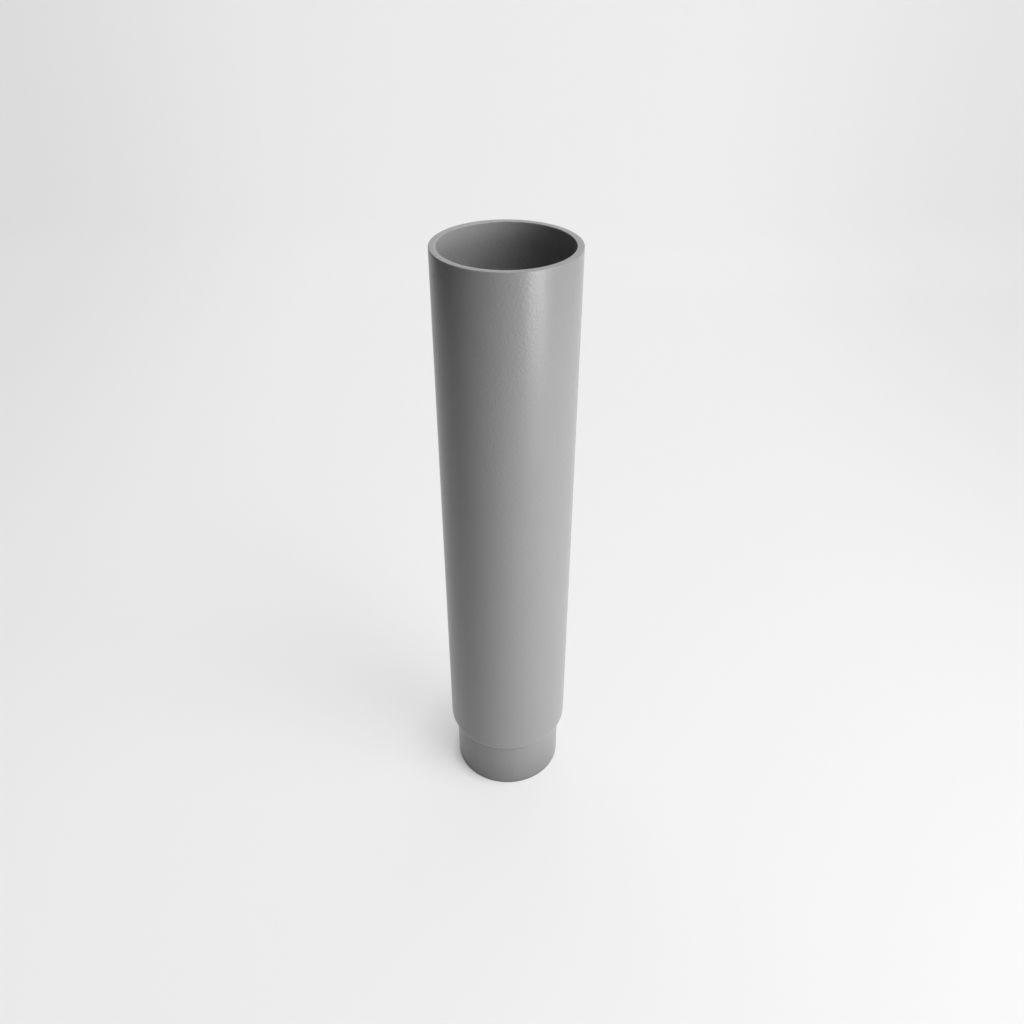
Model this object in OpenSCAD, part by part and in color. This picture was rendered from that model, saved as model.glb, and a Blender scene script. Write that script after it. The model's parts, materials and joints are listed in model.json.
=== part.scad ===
// Round aluminium downpipe for flush joints.
// The upper end is a plain socket. The lower end is swaged: the wall is drawn in over a conical
// shoulder to a spigot, which slips into the bore of the next length until the shoulder seats.
// Millimetres. The origin is the centre of the spigot's foot, and +Z runs up the pipe's axis.

/* [Pipe] */
// Outside diameter
pipe_od = 63; // [50:1:120]
// Wall thickness
wall = 3; // [2.4:0.1:4]
// Overall length, from the spigot's foot to the socket's rim
pipe_length = 300; // [150:10:6000]

/* [Swaged spigot] */
// Depth that slips into the next pipe, from the foot to the root of the shoulder
spigot_length = 29; // [20:1:60]
// Radial gap between the spigot and the bore that it slips into
slip_gap = 0.1; // [0.05:0.05:0.5]
// Slope of the shoulder, in degrees from the pipe's axis
shoulder_angle = 45; // [30:1:60]
// Radius on the inside of each of the shoulder's two bends
bend_radius = 1; // [0.5:0.1:1.2]

/* [Cut ends] */
// Radius that breaks the edges of the sawn rim and foot
edge_break = 0.4; // [0.1:0.1:1]

/* [Display] */
// Facets round the pipe
facets = 180; // [60:12:360]

/* [Hidden] */

powder_grey = [0.57, 0.57, 0.575];

pipe_r = pipe_od / 2;
bore_r = pipe_r - wall;
spigot_r = bore_r - slip_gap;
spigot_bore_r = spigot_r - wall;

// Heights of the two corners that the shoulder's outer face would have with no bend radius
root_z = spigot_length;
lip_z = root_z + (pipe_r - spigot_r) / tan(shoulder_angle);
// The inner face keeps the wall's thickness, so its corners lie higher by the mitre of one bend
mitre = wall * tan(shoulder_angle / 2);
outer_bend = bend_radius + wall;

// Half section of the wall: one [radius, height, rounding] for each corner, anticlockwise
wall_corners = [
    [spigot_r, 0, edge_break],
    [spigot_r, root_z, bend_radius],
    [pipe_r, lip_z, outer_bend],
    [pipe_r, pipe_length, edge_break],
    [bore_r, pipe_length, edge_break],
    [bore_r, lip_z + mitre, bend_radius],
    [spigot_bore_r, root_z + mitre, outer_bend],
    [spigot_bore_r, 0, edge_break]
];

function point(corner) = [corner[0], corner[1]];
function unit(v) = v / norm(v);
function before(corners, i) = corners[(i + len(corners) - 1) % len(corners)];
function after(corners, i) = corners[(i + 1) % len(corners)];
function turns_left(corners, i) =
    cross(point(corners[i] - before(corners, i)), point(after(corners, i) - corners[i])) > 0;

// The sliver between corner i and the arc that rounds it, drawn from the corner itself
module corner_sliver(corners, i) {
    radius = corners[i][2];
    back = unit(point(before(corners, i) - corners[i]));
    ahead = unit(point(after(corners, i) - corners[i]));
    half_angle = acos(back * ahead) / 2;
    setback = radius / tan(half_angle);
    centre = unit(back + ahead) * radius / sin(half_angle);
    translate(point(corners[i])) difference() {
        polygon([[0, 0], back * setback, centre, ahead * setback]);
        translate(centre) circle(radius);
    }
}

// Polygon with every corner rounded: outward corners lose their sliver, inward ones gain it
module rounded_section(corners) {
    difference() {
        union() {
            polygon([for (corner = corners) point(corner)]);
            for (i = [0 : len(corners) - 1])
                if (!turns_left(corners, i)) corner_sliver(corners, i);
        }
        for (i = [0 : len(corners) - 1])
            if (turns_left(corners, i)) corner_sliver(corners, i);
    }
}

// One seamless length: socket, shoulder and spigot turned from one wall section
module downpipe() {
    color(powder_grey) rotate_extrude($fn = facets) rounded_section(wall_corners, $fn = facets);
}

downpipe();
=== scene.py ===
"""Round aluminium downpipe with a grey powder coat, standing on its swaged spigot in a studio."""

import json
import math
from collections import namedtuple

import bmesh
import bpy
from bpy.props import (
    FloatProperty,
    FloatVectorProperty,
    IntProperty,
    PointerProperty,
)
from bpy.types import Operator, Panel, PropertyGroup
from mathutils import Matrix, Vector


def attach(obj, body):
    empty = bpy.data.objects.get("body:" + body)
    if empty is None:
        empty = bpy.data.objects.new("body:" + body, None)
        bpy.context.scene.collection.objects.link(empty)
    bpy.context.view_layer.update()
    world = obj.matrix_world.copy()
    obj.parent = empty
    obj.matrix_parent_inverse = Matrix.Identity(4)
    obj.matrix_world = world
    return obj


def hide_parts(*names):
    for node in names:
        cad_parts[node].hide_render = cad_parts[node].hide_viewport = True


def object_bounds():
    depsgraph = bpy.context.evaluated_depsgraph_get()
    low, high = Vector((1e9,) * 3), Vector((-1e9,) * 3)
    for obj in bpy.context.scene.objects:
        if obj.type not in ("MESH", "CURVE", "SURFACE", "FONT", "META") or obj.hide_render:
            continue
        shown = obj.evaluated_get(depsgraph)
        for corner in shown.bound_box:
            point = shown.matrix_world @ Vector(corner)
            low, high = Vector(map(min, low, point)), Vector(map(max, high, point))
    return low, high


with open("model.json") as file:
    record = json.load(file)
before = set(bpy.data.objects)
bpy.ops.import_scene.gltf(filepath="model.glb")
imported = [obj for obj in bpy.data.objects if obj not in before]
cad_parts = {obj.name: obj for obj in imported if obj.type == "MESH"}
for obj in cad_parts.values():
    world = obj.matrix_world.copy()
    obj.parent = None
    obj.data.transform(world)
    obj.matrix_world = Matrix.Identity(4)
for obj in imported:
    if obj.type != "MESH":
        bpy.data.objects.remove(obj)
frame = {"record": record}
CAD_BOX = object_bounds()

bl_info = {
    "name": "Aluminium Downpipe",
    "version": (1, 0, 0),
    "blender": (4, 5, 0),
    "location": "3D View > Sidebar > Downpipe",
    "description": "Models a swaged aluminium downpipe with a powder coat, and a studio for it",
    "category": "Object",
}

BODY = "root"
NODE = "downpipe"

# Radii of the mating surfaces, in metres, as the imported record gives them
MATING_RADII = {
    mount["name"]: mount["dims"]["r_mm"] / 1000
    for mount in frame["record"]["mounts"]
    if "r_mm" in mount["dims"]
}
PIPE_RADIUS = CAD_BOX[1].x
PIPE_LENGTH = CAD_BOX[1].z

# How close to a height or a radius a vertex has to be to count as lying on it
TOUCH = 2e-5

# How far along the pipe's axis a face's normal has to point for the face to count as sawn
SAWN = 0.99

# Edges that turn by less than this are shaded smooth
SMOOTH_TURN = math.radians(35)

# Rays that an ambient occlusion node sends out, for one sample of the picture
OCCLUSION_RAYS = 6


class DownpipeSizes(PropertyGroup):
    """Sizes of the pipe, of its swaged end and of its edges"""

    outside_diameter: FloatProperty(
        name="Outside Diameter",
        description="Diameter of the straight pipe",
        default=2 * PIPE_RADIUS,
        min=0.05,
        max=0.12,
        unit="LENGTH",
    )
    wall: FloatProperty(
        name="Wall",
        description="Thickness of the wall, the same from end to end",
        default=PIPE_RADIUS - MATING_RADII["socket"],
        min=0.002,
        max=0.004,
        precision=4,
        unit="LENGTH",
    )
    length: FloatProperty(
        name="Length",
        description="From the spigot's foot to the socket's rim",
        default=PIPE_LENGTH,
        min=0.15,
        max=6,
        unit="LENGTH",
    )
    spigot_diameter: FloatProperty(
        name="Spigot Diameter",
        description="Outside diameter of the swaged end, which enters the next bore",
        default=2 * MATING_RADII["spigot"],
        min=0.04,
        max=0.11,
        unit="LENGTH",
    )
    spigot_length: FloatProperty(
        name="Spigot Length",
        description="From the foot to the root of the shoulder",
        default=0.029,
        min=0.02,
        max=0.06,
        unit="LENGTH",
    )
    shoulder_angle: FloatProperty(
        name="Shoulder Angle",
        description="Slope of the swaged shoulder, from the pipe's axis",
        default=math.radians(45),
        min=math.radians(30),
        max=math.radians(60),
        subtype="ANGLE",
    )
    bend_radius: FloatProperty(
        name="Bend Radius",
        description="Radius on the inside of each bend of the shoulder",
        default=0.001,
        min=0.0005,
        max=0.002,
        precision=4,
        unit="LENGTH",
    )
    edge_break: FloatProperty(
        name="Edge Break",
        description="Radius that rounds the edges of the sawn rim and foot",
        default=0.0004,
        min=0.0001,
        max=0.001,
        precision=4,
        unit="LENGTH",
    )
    facets: IntProperty(
        name="Facets",
        description="Faces round the pipe",
        default=288,
        min=48,
        max=512,
    )


class PowderCoat(PropertyGroup):
    """Colour, gloss and grain of the powder coat, with the shade and light painted into its colour
    """

    colour: FloatVectorProperty(
        name="Colour",
        description="Colour of the baked powder",
        default=(0.25, 0.25, 0.25),
        min=0,
        max=1,
        subtype="COLOR",
    )
    roughness: FloatProperty(
        name="Roughness",
        description="How satin the coat is",
        default=0.28,
        min=0.1,
        max=0.8,
        subtype="FACTOR",
    )
    grain: FloatProperty(
        name="Grain",
        description="Width of one bead of the orange peel",
        default=0.0011,
        min=0.0003,
        max=0.003,
        precision=4,
        unit="LENGTH",
    )
    relief: FloatProperty(
        name="Relief",
        description="Height of the orange peel",
        default=0.00009,
        min=0,
        max=0.0005,
        precision=6,
        unit="LENGTH",
    )
    speckle: FloatProperty(
        name="Speckle",
        description="How far the grains differ from each other in shade",
        default=0.05,
        min=0,
        max=1,
        subtype="FACTOR",
    )
    mottle: FloatProperty(
        name="Mottle",
        description="How far the shade drifts over a few centimetres",
        default=0.03,
        min=0,
        max=1,
        subtype="FACTOR",
    )
    # Painted light: the bore's colour is made paler just inside its two ends, where more light
    # reaches in at the mouth
    painted_mouth_light: FloatProperty(
        name="Mouth",
        description="How much paler the bore is at its two ends, where the powder gathers",
        default=0.3,
        min=0,
        max=1,
        subtype="FACTOR",
    )
    painted_mouth_light_depth: FloatProperty(
        name="Mouth Depth",
        description="How deep into the bore that reaches",
        default=0.011,
        min=0.001,
        max=0.1,
        unit="LENGTH",
    )
    # Painted shade: the coat's colour is darkened where another surface stands close, under the
    # shoulder and above the floor
    painted_recess_shade: FloatProperty(
        name="Recess",
        description="How much the coat darkens in the corner under the shoulder and at the foot",
        default=0.66,
        min=0,
        max=1,
        subtype="FACTOR",
    )
    painted_recess_shade_reach: FloatProperty(
        name="Recess Reach",
        description="How close a surface has to stand in front of the coat to darken it",
        default=0.032,
        min=0.001,
        max=0.1,
        unit="LENGTH",
    )
    # More painted shade, tighter, right in the corner under the shoulder and right above the floor
    painted_crease_shade: FloatProperty(
        name="Crease",
        description="How much more it darkens right in the corner and right above the floor",
        default=0.5,
        min=0,
        max=1,
        subtype="FACTOR",
    )
    painted_crease_shade_reach: FloatProperty(
        name="Crease Reach",
        description="How close a surface has to stand for that",
        default=0.003,
        min=0.0005,
        max=0.02,
        precision=4,
        unit="LENGTH",
    )


class Studio(PropertyGroup):
    """Colour of the floor, the shadow and shade painted into its wash, and strength of the lamps
    """

    floor_colour: FloatVectorProperty(
        name="Floor Colour",
        description="Colour of the seamless floor and backdrop",
        default=(0.9, 0.9, 0.9),
        min=0,
        max=1,
        subtype="COLOR",
    )
    paper_white: FloatVectorProperty(
        name="Paper White",
        description="Shade that the floor is washed out towards for the camera and reflections",
        default=(0.845, 0.845, 0.845),
        min=0,
        max=1,
        subtype="COLOR",
    )
    paleness: FloatProperty(
        name="Paleness",
        description="How far the floor is washed out for the camera and reflections",
        default=0.765,
        min=0,
        max=1,
        subtype="FACTOR",
    )
    # Painted shade: the floor and backdrop are made darker towards their two sides
    painted_side_shade: FloatProperty(
        name="Side Fade",
        description="How much of the wash is lost towards the two sides of the floor",
        default=0.07,
        min=0,
        max=1,
        subtype="FACTOR",
    )
    # Painted shadow: the floor's wash is darkened beside what stands on it, on the side away from
    # the lamps
    painted_contact_shadow: FloatProperty(
        name="Contact",
        description="How much of the wash is lost where something stands close on the lamps' side",
        default=0.46,
        min=0,
        max=1,
        subtype="FACTOR",
    )
    painted_contact_shadow_reach: FloatProperty(
        name="Contact Reach",
        description="How close it has to stand for that",
        default=0.04,
        min=0.001,
        max=0.1,
        unit="LENGTH",
    )
    painted_contact_shadow_line: FloatProperty(
        name="Contact Line",
        description="How much more of the wash is lost right beside what stands there",
        default=1,
        min=0,
        max=1,
        subtype="FACTOR",
    )
    painted_contact_shadow_line_reach: FloatProperty(
        name="Contact Line Reach",
        description="How close that is",
        default=0.01,
        min=0.0005,
        max=0.02,
        precision=4,
        unit="LENGTH",
    )
    lamp_strength: FloatProperty(
        name="Lamp Strength",
        description="Multiplies the power of every lamp",
        default=1.0,
        min=0,
        max=4,
        subtype="FACTOR",
    )


# Selecting and starting


def start_object():
    """Leaves edit mode and deselects everything, so that the next primitive stands alone."""
    if bpy.context.mode != "OBJECT":
        bpy.ops.object.mode_set(mode="OBJECT")
    bpy.ops.object.select_all(action="DESELECT")


def select_parts(kind, chosen):
    """In edit mode, selects just the vertices, edges or faces for which chosen says yes."""
    bpy.ops.mesh.select_mode(type=kind)
    bpy.ops.mesh.select_all(action="DESELECT")
    mesh = bmesh.from_edit_mesh(bpy.context.edit_object.data)
    for part in {"VERT": mesh.verts, "EDGE": mesh.edges, "FACE": mesh.faces}[kind]:
        if chosen(part):
            part.select_set(True)
    bmesh.update_edit_mesh(bpy.context.edit_object.data)


def is_ring(edge, height):
    """True for an edge that runs round the pipe at that height."""
    first, last = (vertex.co for vertex in edge.verts)
    return (
        abs(first.z - height) < TOUCH
        and abs(last.z - height) < TOUCH
        and abs(first.xy.length - last.xy.length) < TOUCH
    )


def apply_modifier(piece, name, kind, **settings):
    """Adds a modifier with those settings and applies it."""
    modifier = piece.modifiers.new(name, kind)
    for setting, value in settings.items():
        setattr(modifier, setting, value)
    bpy.ops.object.modifier_apply(modifier=name)


# The pipe


def draw_in(distance_down, radius_from, radius_to):
    """Carries the selected ring down and draws it in or out to another radius."""
    bpy.ops.mesh.extrude_region_move(
        TRANSFORM_OT_translate={"value": (0, 0, -distance_down)}
    )
    share = radius_to / radius_from
    bpy.ops.transform.resize(value=(share, share, 1), center_override=(0, 0, 0))


def round_ring(height, radius, turn, segments):
    """Rounds the ring at that height, where the skin turns by that angle, to that radius."""
    select_parts("EDGE", lambda edge: is_ring(edge, height))
    bpy.ops.mesh.bevel(
        offset_type="OFFSET",
        offset=radius * math.tan(turn / 2),
        segments=segments,
        profile=0.5,
        affect="EDGES",
        clamp_overlap=False,
    )


def model_pipe(sizes):
    """Models the skin of the pipe as one swaged tube, then gives it its wall and its edges."""
    pipe_radius = sizes.outside_diameter / 2
    spigot_radius = sizes.spigot_diameter / 2
    root = sizes.spigot_length
    lip = root + (pipe_radius - spigot_radius) / math.tan(sizes.shoulder_angle)

    start_object()
    bpy.ops.mesh.primitive_cylinder_add(
        vertices=sizes.facets,
        radius=pipe_radius,
        depth=sizes.length - lip,
        end_fill_type="NOTHING",
        location=(0, 0, (sizes.length + lip) / 2),
    )
    pipe = bpy.context.object
    pipe.name = pipe.data.name = "coated_pipe"
    bpy.ops.object.transform_apply(location=True, rotation=True, scale=True)

    bpy.ops.object.mode_set(mode="EDIT")
    select_parts("EDGE", lambda edge: is_ring(edge, lip))
    draw_in(lip - root, pipe_radius, spigot_radius)
    draw_in(root, spigot_radius, spigot_radius)
    round_ring(lip, sizes.bend_radius + sizes.wall, sizes.shoulder_angle, segments=10)
    round_ring(root, sizes.bend_radius, sizes.shoulder_angle, segments=6)
    bpy.ops.mesh.select_all(action="SELECT")
    bpy.ops.mesh.normals_make_consistent(inside=False)
    bpy.ops.object.mode_set(mode="OBJECT")

    apply_modifier(
        pipe,
        "wall",
        "SOLIDIFY",
        thickness=sizes.wall,
        offset=-1,
        use_even_offset=True,
        use_quality_normals=True,
    )

    bpy.ops.object.mode_set(mode="EDIT")
    for end in (0, sizes.length):
        round_ring(end, sizes.edge_break, math.pi / 2, segments=4)
    bpy.ops.object.mode_set(mode="OBJECT")

    bpy.ops.object.shade_smooth_by_angle(angle=SMOOTH_TURN)
    apply_modifier(
        pipe, "flat_faces_stay_flat", "WEIGHTED_NORMAL", weight=100, keep_sharp=True
    )
    return pipe


# Materials


def group_socket(tree, name, kind, direction, default=None):
    """Adds a named socket to a node group, with its default where it has one."""
    socket = tree.interface.new_socket(name=name, socket_type=kind, in_out=direction)
    if default is not None:
        socket.default_value = default
    return socket


def add_node(tree, kind, place, label="", **settings):
    """Adds a node at a place in the editor, with its own settings."""
    node = tree.nodes.new(kind)
    node.location = place
    node.label = label
    for setting, value in settings.items():
        setattr(node, setting, value)
    return node


def powder_group():
    """Node group for what every coated surface shares: orange peel, speckle and mottling."""
    clouds_per_metre = 45
    tree = bpy.data.node_groups.new("powder_grain", "ShaderNodeTree")
    group_socket(tree, "Colour", "NodeSocketColor", "INPUT", (0.25, 0.25, 0.25, 1))
    group_socket(tree, "Roughness", "NodeSocketFloat", "INPUT", 0.3)
    group_socket(tree, "Grain Size", "NodeSocketFloat", "INPUT", 0.0011)
    group_socket(tree, "Speckle", "NodeSocketFloat", "INPUT", 0.12)
    group_socket(tree, "Mottle", "NodeSocketFloat", "INPUT", 0.03)
    group_socket(tree, "Colour", "NodeSocketColor", "OUTPUT")
    group_socket(tree, "Roughness", "NodeSocketFloat", "OUTPUT")
    group_socket(tree, "Height", "NodeSocketFloat", "OUTPUT")

    link = tree.links.new
    given = add_node(tree, "NodeGroupInput", (-1100, 0))
    place = add_node(tree, "ShaderNodeTexCoord", (-1100, 300))

    # One over the width of a bead is how many beads fill a metre
    beads = add_node(tree, "ShaderNodeMath", (-900, -150), "beads", operation="DIVIDE")
    beads.inputs[0].default_value = 1
    link(given.outputs["Grain Size"], beads.inputs[1])

    def noise(label, height, detail, scale=None):
        """Adds a noise over the piece's own coordinates, with one bead to a cell unless told."""
        texture = add_node(tree, "ShaderNodeTexNoise", (-700, height), label)
        texture.inputs["Detail"].default_value = detail
        link(place.outputs["Object"], texture.inputs["Vector"])
        if scale is None:
            link(beads.outputs[0], texture.inputs["Scale"])
        else:
            texture.inputs["Scale"].default_value = scale
        return texture

    peel = noise("orange peel", 300, detail=1)
    speckle = noise("speckle", 0, detail=2)
    speckle.noise_dimensions = "4D"
    speckle.inputs["W"].default_value = 7
    clouds = noise("mottling", -300, detail=3, scale=clouds_per_metre)

    def about_one(texture, amount, height):
        """Spreads a noise about one, by an amount of the group's, so that the mean stays."""
        centred = add_node(tree, "ShaderNodeMath", (-500, height), operation="SUBTRACT")
        centred.inputs[1].default_value = 0.5
        link(texture.outputs["Fac"], centred.inputs[0])
        spread = add_node(
            tree, "ShaderNodeMath", (-340, height), amount, operation="MULTIPLY_ADD"
        )
        spread.inputs[2].default_value = 1
        link(centred.outputs[0], spread.inputs[0])
        link(given.outputs[amount], spread.inputs[1])
        return spread

    speckled = about_one(speckle, "Speckle", 0)
    mottled = about_one(clouds, "Mottle", -300)
    factor = add_node(tree, "ShaderNodeMath", (-140, -100), operation="MULTIPLY")
    link(speckled.outputs[0], factor.inputs[0])
    link(mottled.outputs[0], factor.inputs[1])

    tinted = add_node(
        tree, "ShaderNodeVectorMath", (60, 100), "tinted", operation="SCALE"
    )
    link(given.outputs["Colour"], tinted.inputs[0])
    link(factor.outputs[0], tinted.inputs["Scale"])
    rough = add_node(tree, "ShaderNodeMath", (60, -100), operation="MULTIPLY")
    link(given.outputs["Roughness"], rough.inputs[0])
    link(factor.outputs[0], rough.inputs[1])

    result = add_node(tree, "NodeGroupOutput", (260, 0))
    link(tinted.outputs[0], result.inputs["Colour"])
    link(rough.outputs[0], result.inputs["Roughness"])
    link(peel.outputs["Fac"], result.inputs["Height"])
    return tree


def coat_material(name, group, coat, coarseness=1.0, relief=1.0, mottle=1.0, shade=1.0):
    """Powder coat on one kind of surface: how much coarser, higher, blotchier and paler it is."""
    material = bpy.data.materials.new(name)
    material.use_nodes = True
    tree = material.node_tree
    link = tree.links.new
    shader = tree.nodes["Principled BSDF"]

    grain = add_node(tree, "ShaderNodeGroup", (-700, 100), node_tree=group)
    grain.inputs["Colour"].default_value = (*(shade * part for part in coat.colour), 1)
    grain.inputs["Roughness"].default_value = coat.roughness
    grain.inputs["Grain Size"].default_value = coat.grain * coarseness
    grain.inputs["Speckle"].default_value = coat.speckle
    grain.inputs["Mottle"].default_value = coat.mottle * mottle
    bump = add_node(tree, "ShaderNodeBump", (-250, -150))
    bump.inputs["Distance"].default_value = coat.relief * relief

    link(grain.outputs["Colour"], shader.inputs["Base Color"])
    link(grain.outputs["Roughness"], shader.inputs["Roughness"])
    link(grain.outputs["Height"], bump.inputs["Height"])
    link(bump.outputs["Normal"], shader.inputs["Normal"])
    return material


def scale_colour(material, factor, place):
    """Multiplies the colour that reaches the material's shader by the value of a socket."""
    tree = material.node_tree
    base = tree.nodes["Principled BSDF"].inputs["Base Color"]
    scaled = add_node(tree, "ShaderNodeVectorMath", place, "shaded", operation="SCALE")
    tree.links.new(base.links[0].from_socket, scaled.inputs[0])
    tree.links.new(factor, scaled.inputs["Scale"])
    tree.links.new(scaled.outputs[0], base)


def paint_shade_closed_in(material, label, place, loss, reach):
    """Paints shade: takes up to that share off the colour where something stands within reach in
    front.
    """
    tree = material.node_tree
    across, up = place
    openness = add_node(
        tree,
        "ShaderNodeAmbientOcclusion",
        (across - 400, up),
        label,
        samples=OCCLUSION_RAYS,
    )
    openness.inputs["Distance"].default_value = reach
    kept = add_node(tree, "ShaderNodeMapRange", (across - 200, up), "colour kept")
    kept.inputs["To Min"].default_value = 1 - loss
    tree.links.new(openness.outputs["AO"], kept.inputs["Value"])
    scale_colour(material, kept.outputs[0], place)


def outside_material(group, coat):
    """The coat on the outside, with shade painted into its colour under the shoulder and at the
    foot.
    """
    material = coat_material("powder_coat_outside", group, coat)
    # Painted shade, broad and then tight, where the shoulder and the floor stand close to the coat
    paint_shade_closed_in(material, "painted_recess_shade", (-500, 400), coat.painted_recess_shade, coat.painted_recess_shade_reach)
    paint_shade_closed_in(material, "painted_crease_shade", (-250, 700), coat.painted_crease_shade, coat.painted_crease_shade_reach)
    return material


def bore_material(group, coat, length):
    """The coat in the bore, coarser than outside, with light painted into its colour just inside
    its two ends.
    """
    material = coat_material("powder_coat_bore", group, coat, coarseness=1.2)
    tree = material.node_tree
    place = add_node(tree, "ShaderNodeTexCoord", (-1100, 400))
    height = add_node(tree, "ShaderNodeSeparateXYZ", (-940, 400))
    from_middle = add_node(tree, "ShaderNodeMath", (-780, 400), operation="SUBTRACT")
    from_middle.inputs[1].default_value = length / 2
    either_way = add_node(tree, "ShaderNodeMath", (-620, 400), operation="ABSOLUTE")
    # Painted light: paler towards each end of the bore
    paler = add_node(
        tree,
        "ShaderNodeMapRange",
        (-460, 400),
        "paler ends",
        interpolation_type="SMOOTHSTEP",
    )
    paler.inputs["From Min"].default_value = length / 2 - coat.painted_mouth_light_depth
    paler.inputs["From Max"].default_value = length / 2
    paler.inputs["To Min"].default_value = 1
    paler.inputs["To Max"].default_value = 1 + coat.painted_mouth_light
    tree.links.new(place.outputs["Object"], height.inputs[0])
    tree.links.new(height.outputs["Z"], from_middle.inputs[0])
    tree.links.new(from_middle.outputs[0], either_way.inputs[0])
    tree.links.new(either_way.outputs[0], paler.inputs["Value"])
    scale_colour(material, paler.outputs[0], (-250, 400))
    return material


def give_finish(piece, material, chosen):
    """Gives a material to the faces for which chosen says yes."""
    piece.data.materials.append(material)
    bpy.ops.object.mode_set(mode="EDIT")
    select_parts("FACE", chosen)
    piece.active_material_index = len(piece.data.materials) - 1
    bpy.ops.object.material_slot_assign()
    bpy.ops.object.mode_set(mode="OBJECT")


class DOWNPIPE_OT_pipe(Operator):
    """Model the downpipe with its swaged spigot and powder coat it"""

    bl_idname = "downpipe.pipe"
    bl_label = "Downpipe"
    bl_options = {"REGISTER", "UNDO"}

    def execute(self, context):
        sizes = context.scene.downpipe_sizes
        coat = context.scene.downpipe_coat
        pipe = model_pipe(sizes)

        group = powder_group()

        def is_sawn(face):
            return abs(face.normal.z) > SAWN

        def is_inside(face):
            centre = face.calc_center_median()
            return face.normal.xy.dot(centre.xy) < 0

        outside = outside_material(group, coat)
        bore = bore_material(group, coat, sizes.length)
        # Painted light: the sawn ends, the rim on top among them, are coloured a tenth paler for
        # the light that falls on the rim
        sawn_ends = coat_material(
            "powder_coat_sawn_ends", group, coat, relief=1.5, mottle=2.0, shade=1.1
        )
        give_finish(pipe, outside, lambda face: True)
        give_finish(pipe, bore, is_inside)
        give_finish(pipe, sawn_ends, is_sawn)
        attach(pipe, BODY)
        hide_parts(NODE)
        return {"FINISHED"}


# The studio

Lamp = namedtuple("Lamp", "place aim width height power")

# Softboxes: the centre of each, the point that it faces, its size and its power in watts
LAMPS = {
    "low_softbox": Lamp((0.46, -0.46, 0.12), (0, 0, 0.12), 0.34, 0.22, 1.7),
    "side_softbox": Lamp((0.59, -0.27, 0.43), (0, 0, 0.43), 0.60, 0.36, 3.13),
    "key_softbox": Lamp((1.17, -0.76, 1.15), (0, 0, 0.15), 1.10, 1.20, 2.5),
    "front_key_softbox": Lamp((0.80, -0.90, 1.15), (0, 0, 0.15), 0.60, 1.00, 1.7),
    "side_key_softbox": Lamp((1.40, -0.50, 1.15), (0, 0, 0.15), 0.50, 1.00, 3.5),
    "high_key_softbox": Lamp((1.00, -0.70, 1.90), (0, 0, 0.15), 0.80, 0.80, 10.8),
    "overhead_softbox": Lamp((0.20, 0.20, 1.80), (0.20, 0.20, 0), 1.40, 1.20, 6.9),
    "front_overhead_softbox": Lamp((0.15, -0.20, 1.80), (0.15, -0.20, 0), 0.80, 0.80, 3.6),
    "back_overhead_softbox": Lamp((0, 0.60, 1.80), (0, 0.60, 0), 0.80, 0.40, 2.4),
    "backdrop_softbox": Lamp((0.05, 0.30, 1.10), (0.05, 0.76, 0.25), 0.40, 0.30, 0.75),
}


# A shadow painted on the floor as a loss of wash: the way to look from the paper, the most that is
# lost, how far to look, and how open the view is where the most is lost and where nothing is
Fade = namedtuple("Fade", "way loss reach closed open")


def paint_shadow_beside(tree, wash, place, label, fade):
    """Paints a shadow: lowers the wash that comes from a socket where something stands that way,
    within reach.
    """
    across, up = place
    way = add_node(
        tree, "ShaderNodeVectorMath", (across - 480, up), "way", operation="NORMALIZE"
    )
    way.inputs[0].default_value = fade.way
    openness = add_node(
        tree,
        "ShaderNodeAmbientOcclusion",
        (across - 320, up),
        label,
        samples=OCCLUSION_RAYS,
    )
    openness.inputs["Distance"].default_value = fade.reach
    kept = add_node(tree, "ShaderNodeMapRange", (across - 160, up), "wash kept")
    kept.inputs["From Min"].default_value = fade.closed
    kept.inputs["From Max"].default_value = fade.open
    kept.inputs["To Min"].default_value = 1 - fade.loss
    faded = add_node(tree, "ShaderNodeMath", place, "wash", operation="MULTIPLY")
    tree.links.new(way.outputs[0], openness.inputs["Normal"])
    tree.links.new(openness.outputs["AO"], kept.inputs["Value"])
    tree.links.new(kept.outputs[0], faded.inputs[0])
    tree.links.new(wash, faded.inputs[1])
    return faded.outputs[0]


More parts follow.
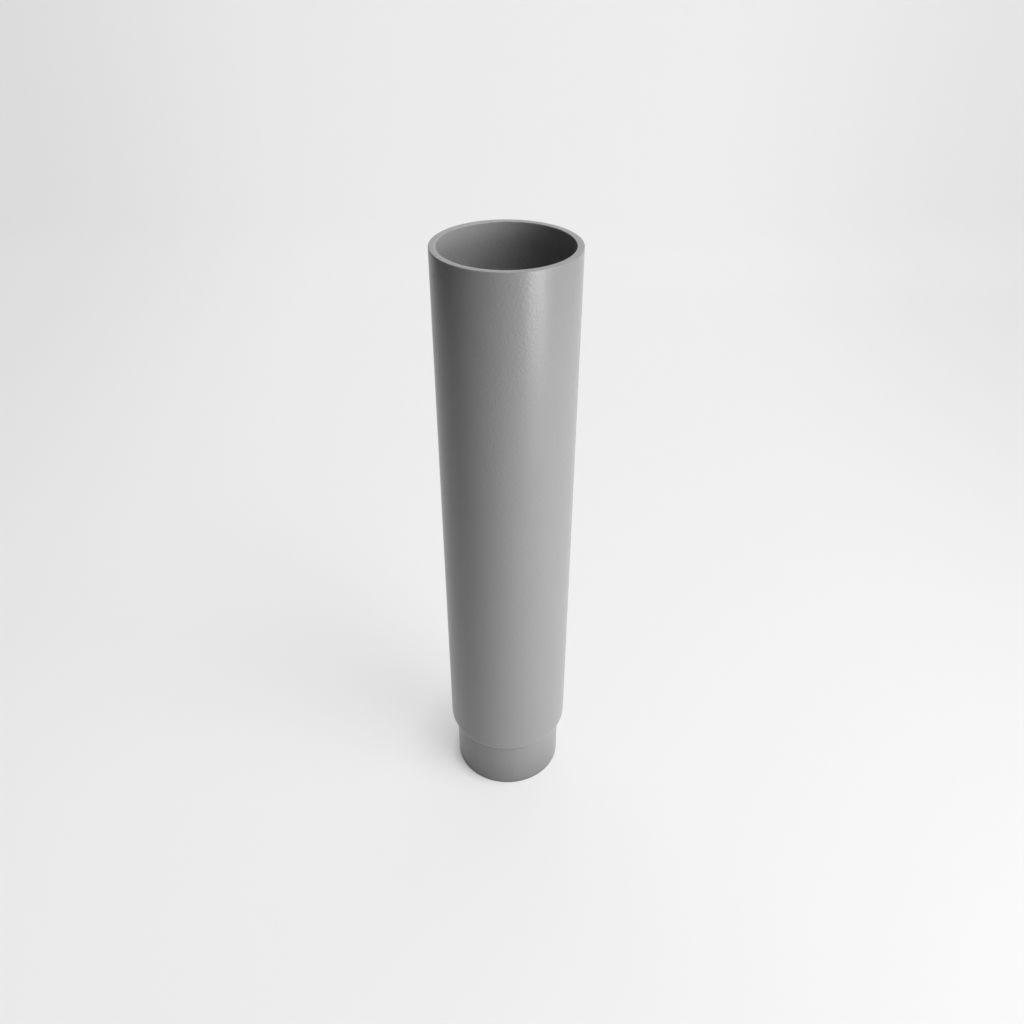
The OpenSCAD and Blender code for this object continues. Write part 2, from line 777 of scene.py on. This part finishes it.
def floor_material(studio):
    """Matt seamless paper, washed out to a pale shade where the camera or a reflection sees it,
    with shadow and shade painted into that wash.
    """
    fibres_per_metre = 900
    fibre_contrast = 0.005
    fade_from, fade_to = 0.22, 0.55
    material = bpy.data.materials.new("seamless_paper")
    material.use_nodes = True
    tree = material.node_tree
    link = tree.links.new
    paper = tree.nodes["Principled BSDF"]
    paper.inputs["Roughness"].default_value = 0.9
    paper.inputs["Specular IOR Level"].default_value = 0.2

    place = add_node(tree, "ShaderNodeTexCoord", (-900, 0))
    fibre = add_node(tree, "ShaderNodeTexNoise", (-700, 0), "paper fibre")
    fibre.inputs["Scale"].default_value = fibres_per_metre
    shade = add_node(tree, "ShaderNodeMapRange", (-500, 0), "fibre shade")
    shade.inputs["To Min"].default_value = 1 - fibre_contrast
    shade.inputs["To Max"].default_value = 1 + fibre_contrast
    tint = add_node(tree, "ShaderNodeVectorMath", (-300, 0), operation="SCALE")
    tint.inputs[0].default_value = studio.floor_colour
    link(place.outputs["Object"], fibre.inputs["Vector"])
    link(fibre.outputs["Fac"], shade.inputs["Value"])
    link(shade.outputs[0], tint.inputs["Scale"])
    link(tint.outputs[0], paper.inputs["Base Color"])

    # Painted shade: the wash fades towards the sides of the paper, as light falls off there
    sideways = add_node(tree, "ShaderNodeSeparateXYZ", (-900, 400))
    away = add_node(tree, "ShaderNodeMath", (-740, 400), operation="ABSOLUTE")
    sides = add_node(
        tree,
        "ShaderNodeMapRange",
        (-580, 400),
        "side fade",
        interpolation_type="SMOOTHSTEP",
    )
    sides.inputs["From Min"].default_value = fade_from
    sides.inputs["From Max"].default_value = fade_to
    sides.inputs["To Min"].default_value = 1
    sides.inputs["To Max"].default_value = 1 - studio.painted_side_shade
    link(place.outputs["Object"], sideways.inputs[0])
    link(sideways.outputs["X"], away.inputs[0])
    link(away.outputs[0], sides.inputs["Value"])

    # A painted shadow: the wash fades as well close beside whatever keeps the lamps off it, most
    # of all right beside it
    wash = paint_shadow_beside(
        tree,
        sides.outputs[0],
        (-420, 650),
        "painted_contact_shadow",
        Fade((1, -0.6, 0.5), studio.painted_contact_shadow, studio.painted_contact_shadow_reach, 0.2, 0.78),
    )
    wash = paint_shadow_beside(
        tree,
        wash,
        (-260, 900),
        "contact line",
        Fade((1, 0.55, 0.5), studio.painted_contact_shadow_line, studio.painted_contact_shadow_line_reach, 0, 0.5),
    )

    pale = add_node(tree, "ShaderNodeEmission", (0, 250), "pale paper")
    pale.inputs["Color"].default_value = (*studio.paper_white, 1)
    link(wash, pale.inputs["Strength"])
    # Only the camera and reflections see the wash: what the paper throws back is without it
    path = add_node(tree, "ShaderNodeLightPath", (-300, 500))
    seen = add_node(tree, "ShaderNodeMath", (-100, 500), "seen", operation="MAXIMUM")
    share = add_node(tree, "ShaderNodeMath", (100, 500), operation="MULTIPLY")
    share.inputs[1].default_value = studio.paleness
    link(path.outputs["Is Camera Ray"], seen.inputs[0])
    link(path.outputs["Is Glossy Ray"], seen.inputs[1])
    link(seen.outputs[0], share.inputs[0])
    mixed = add_node(tree, "ShaderNodeMixShader", (300, 100))
    link(share.outputs[0], mixed.inputs["Fac"])
    link(paper.outputs["BSDF"], mixed.inputs[1])
    link(pale.outputs["Emission"], mixed.inputs[2])
    link(mixed.outputs[0], tree.nodes["Material Output"].inputs["Surface"])
    return material


def build_floor(studio):
    """Floor that sweeps up into a backdrop behind the pipe."""
    half_width = 0.68
    front = -0.6
    back = 0.76
    rise = 1.5
    sweep = 0.07
    start_object()
    bpy.ops.mesh.primitive_plane_add(size=1, location=(0, 0, 0))
    floor = bpy.context.object
    floor.name = floor.data.name = "seamless_floor"
    bpy.ops.object.mode_set(mode="EDIT")
    bpy.ops.transform.resize(value=(2 * half_width, back - front, 1))
    bpy.ops.transform.translate(value=(0, (back + front) / 2, 0))
    select_parts(
        "EDGE", lambda edge: all(v.co.y > back - TOUCH for v in edge.verts)
    )
    bpy.ops.mesh.extrude_region_move(TRANSFORM_OT_translate={"value": (0, 0, rise)})
    select_parts(
        "EDGE",
        lambda edge: all(v.co.y > back - TOUCH and v.co.z < TOUCH for v in edge.verts),
    )
    bpy.ops.mesh.bevel(
        offset=sweep, segments=24, profile=0.5, affect="EDGES", clamp_overlap=False
    )
    bpy.ops.object.mode_set(mode="OBJECT")
    bpy.ops.object.shade_smooth()
    floor.data.materials.append(floor_material(studio))


def build_lamp(name, lamp, strength):
    """One rectangular softbox, which the camera doesn't see."""
    place, aim = Vector(lamp.place), Vector(lamp.aim)
    start_object()
    bpy.ops.object.light_add(
        type="AREA",
        location=place,
        rotation=(aim - place).to_track_quat("-Z", "Y").to_euler(),
    )
    softbox = bpy.context.object
    softbox.name = softbox.data.name = name
    softbox.data.shape = "RECTANGLE"
    softbox.data.size = lamp.width
    softbox.data.size_y = lamp.height
    softbox.data.energy = lamp.power * strength
    softbox.visible_camera = False


def build_camera(scene):
    """Camera in front of the pipe and above it, looking down at it."""
    down = math.radians(35.464)
    roll = math.radians(0.06)
    start_object()
    bpy.ops.object.camera_add(location=(0.00238, -0.35946, 0.42411))
    camera = bpy.context.object
    camera.name = camera.data.name = "camera"
    camera.matrix_world = (
        Matrix.Translation(camera.location)
        @ Matrix.Rotation(math.pi / 2 - down, 4, "X")
        @ Matrix.Rotation(roll, 4, "Z")
    )
    camera.data.sensor_width = 36
    camera.data.lens = 31.976
    camera.data.clip_start = 0.01
    scene.camera = camera


def build_world(scene):
    """Pale surroundings for the camera alone, which light nothing."""
    pale_grey = (0.82, 0.82, 0.82, 1)
    world = bpy.data.worlds.new("surroundings")
    scene.world = world
    world.use_nodes = True
    tree = world.node_tree
    pale = tree.nodes["Background"]
    pale.inputs["Color"].default_value = pale_grey
    path = add_node(tree, "ShaderNodeLightPath", (-200, 200))
    tree.links.new(path.outputs["Is Camera Ray"], pale.inputs["Strength"])


class DOWNPIPE_OT_stage(Operator):
    """Set up the seamless floor, the lamps and the camera"""

    bl_idname = "downpipe.stage"
    bl_label = "Studio"
    bl_options = {"REGISTER", "UNDO"}

    def execute(self, context):
        scene = context.scene
        studio = scene.downpipe_studio
        scene.view_settings.view_transform = "Standard"
        build_world(scene)
        build_floor(studio)
        for name, lamp in LAMPS.items():
            build_lamp(name, lamp, studio.lamp_strength)
        build_camera(scene)
        return {"FINISHED"}


class DOWNPIPE_PT_panel(Panel):
    """Sizes, finish and buttons for the downpipe"""

    bl_idname = "DOWNPIPE_PT_panel"
    bl_label = "Aluminium Downpipe"
    bl_space_type = "VIEW_3D"
    bl_region_type = "UI"
    bl_category = "Downpipe"

    def draw(self, context):
        layout = self.layout
        scene = context.scene
        for settings in (
            scene.downpipe_sizes,
            scene.downpipe_coat,
            scene.downpipe_studio,
        ):
            box = layout.box()
            for name in settings.__annotations__:
                box.prop(settings, name)
        layout.operator(DOWNPIPE_OT_stage.bl_idname)
        layout.operator(DOWNPIPE_OT_pipe.bl_idname)


CLASSES = (
    DownpipeSizes,
    PowderCoat,
    Studio,
    DOWNPIPE_OT_stage,
    DOWNPIPE_OT_pipe,
    DOWNPIPE_PT_panel,
)


def register():
    for cls in CLASSES:
        bpy.utils.register_class(cls)
    bpy.types.Scene.downpipe_sizes = PointerProperty(type=DownpipeSizes)
    bpy.types.Scene.downpipe_coat = PointerProperty(type=PowderCoat)
    bpy.types.Scene.downpipe_studio = PointerProperty(type=Studio)


def unregister():
    del bpy.types.Scene.downpipe_studio
    del bpy.types.Scene.downpipe_coat
    del bpy.types.Scene.downpipe_sizes
    for cls in reversed(CLASSES):
        bpy.utils.unregister_class(cls)


def main():
    """Builds the studio and the pipe."""
    register()
    bpy.ops.downpipe.stage()
    bpy.ops.downpipe.pipe()


if __name__ == "__main__":
    main()
